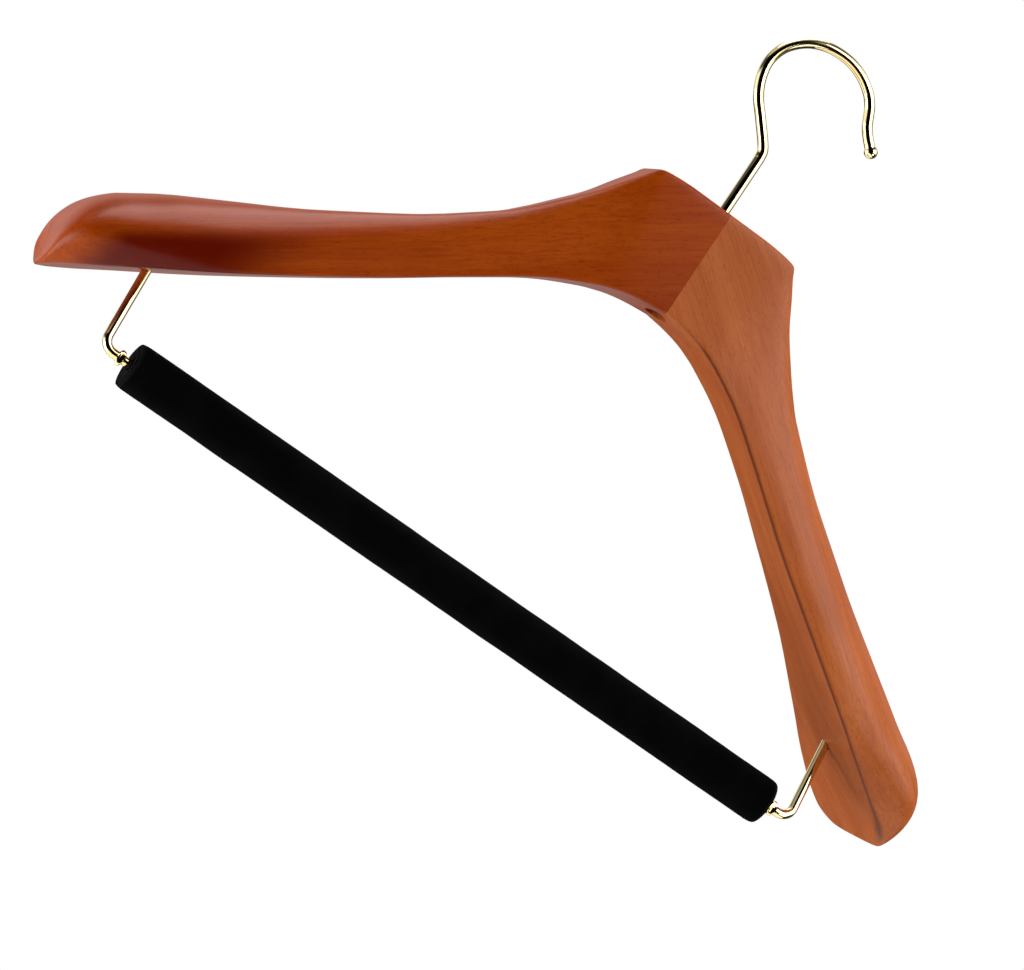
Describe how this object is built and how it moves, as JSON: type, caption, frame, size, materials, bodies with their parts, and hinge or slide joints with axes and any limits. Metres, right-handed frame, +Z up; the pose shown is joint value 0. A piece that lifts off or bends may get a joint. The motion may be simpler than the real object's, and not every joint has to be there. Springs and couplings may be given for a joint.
{
  "type": "wooden suit hanger",
  "caption": "Contoured wooden suit hanger with flared shoulders, a swivel wire hook and a foam-covered trouser bar hung on bent wires.",
  "frame": {"origin": "on the stem's axis at the inside of the hook's crown, where the hanger hangs on a rail", "axes": "+Z up along the hook's stem, +X along the trouser bar to the hanger's right arm, +Y away from the convex face of the shoulders"},
  "size_m": [0.4374, 0.0946, 0.2792],
  "materials": {
    "beech_left": "walnut-red stain under clear satin lacquer",
    "beech_right": "walnut-red stain under clear satin lacquer",
    "dowel_beech": "plain turned beech",
    "polished_brass": "polished, pale gold",
    "zinc_steel": "zinc plated",
    "black_foam": "matt black foam"
  },
  "bodies": {
    "hook": {"hook": "polished_brass", "hook_collar": "zinc_steel"},
    "hanger": {"left_arm": "beech_left", "right_arm": "beech_right", "upper_dowel": "dowel_beech", "lower_dowel": "dowel_beech", "hook_washer": "zinc_steel", "left_bar_wire": "polished_brass", "right_bar_wire": "polished_brass"},
    "trouser_bar": {"bar_core": "dowel_beech", "bar_sleeve": "black_foam"}
  },
  "joints": [
    {"name": "hook_swivel", "type": "hinge", "parent": "hook", "child": "hanger", "pos_m": [0, 0, -0.07856], "axis": [0, 0, 1], "continuous": true},
    {"name": "bar_roll", "type": "hinge", "parent": "hanger", "child": "trouser_bar", "pos_m": [0, 0.02132, -0.26383], "axis": [1, 0, 0], "continuous": true}
  ]
}
